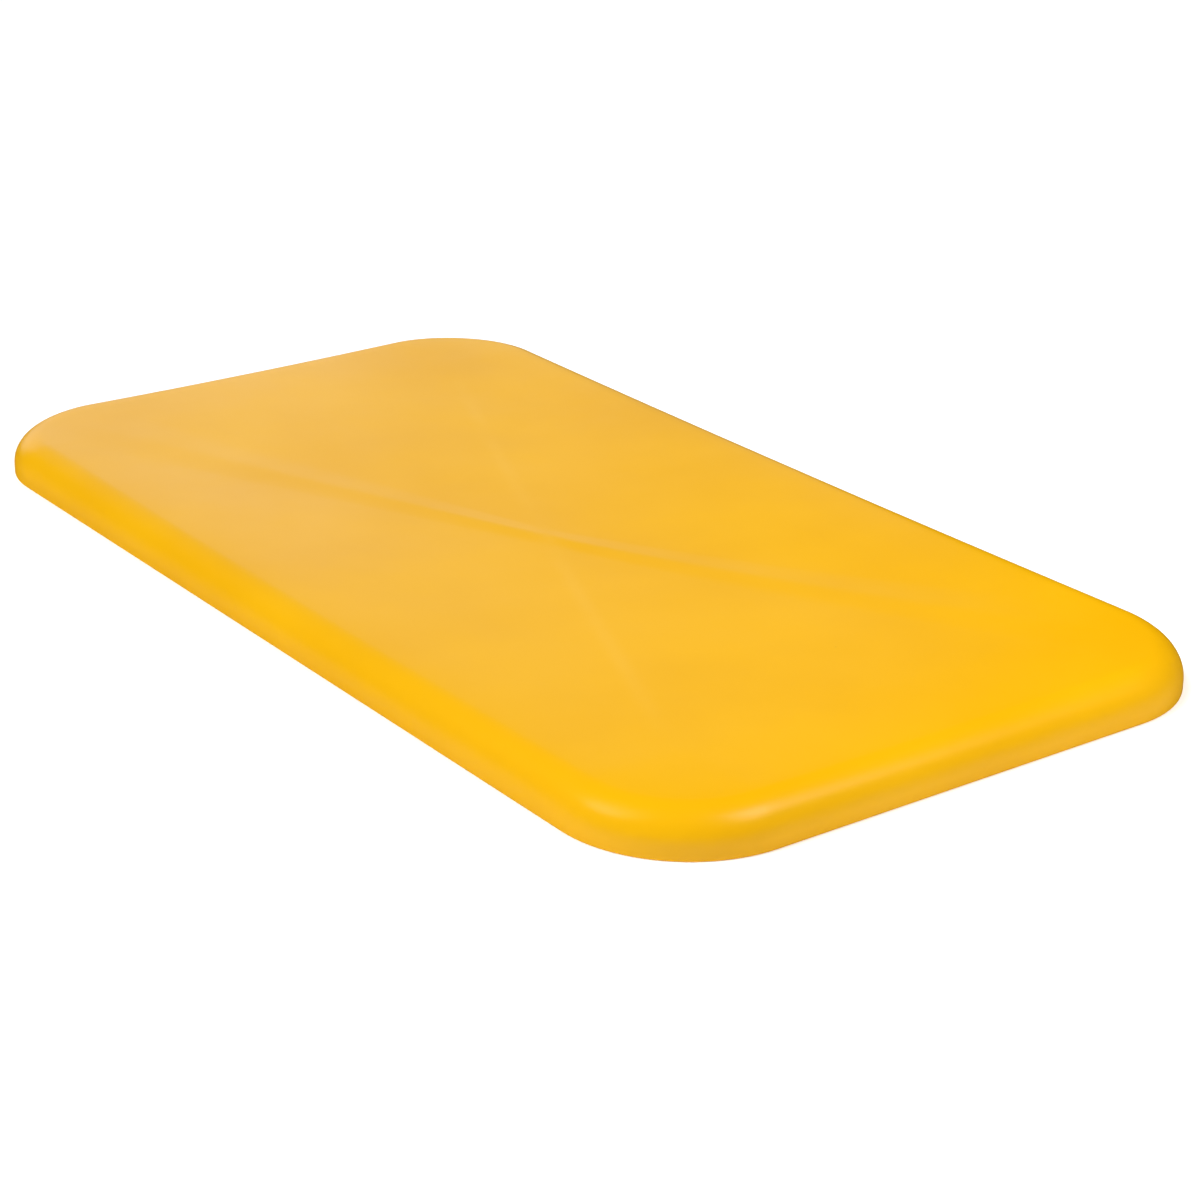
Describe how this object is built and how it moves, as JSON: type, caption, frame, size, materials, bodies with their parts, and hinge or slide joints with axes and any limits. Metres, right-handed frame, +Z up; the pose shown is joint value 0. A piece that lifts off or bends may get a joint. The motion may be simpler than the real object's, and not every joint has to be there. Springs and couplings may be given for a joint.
{
  "type": "insulated tub lid",
  "caption": "Rectangular drop-on lid with round corners, a deep rolled edge and a shallow dished top with low corner ribs, foam filled, with a rim channel and bulb seal underneath.",
  "frame": {"origin": "centre of the lid's footprint, on the plane that the skirt's foot stands on", "axes": "+X along the lid's length, +Y across it, +Z up through the top"},
  "size_m": [1.26, 0.68, 0.043],
  "materials": {
    "lid_yellow": "semi-gloss moulded polyethylene",
    "core_foam": "rigid foam, cut-cell matt",
    "seal_rubber": "extruded rubber, satin",
    "plug_grey": "injection moulded, satin"
  },
  "bodies": {
    "root": {"top_skin": "lid_yellow", "under_skin": "lid_yellow", "foam_core": "core_foam", "rim_seal": "seal_rubber", "fill_plugs": "plug_grey", "vent_plugs": "plug_grey"}
  },
  "joints": []
}
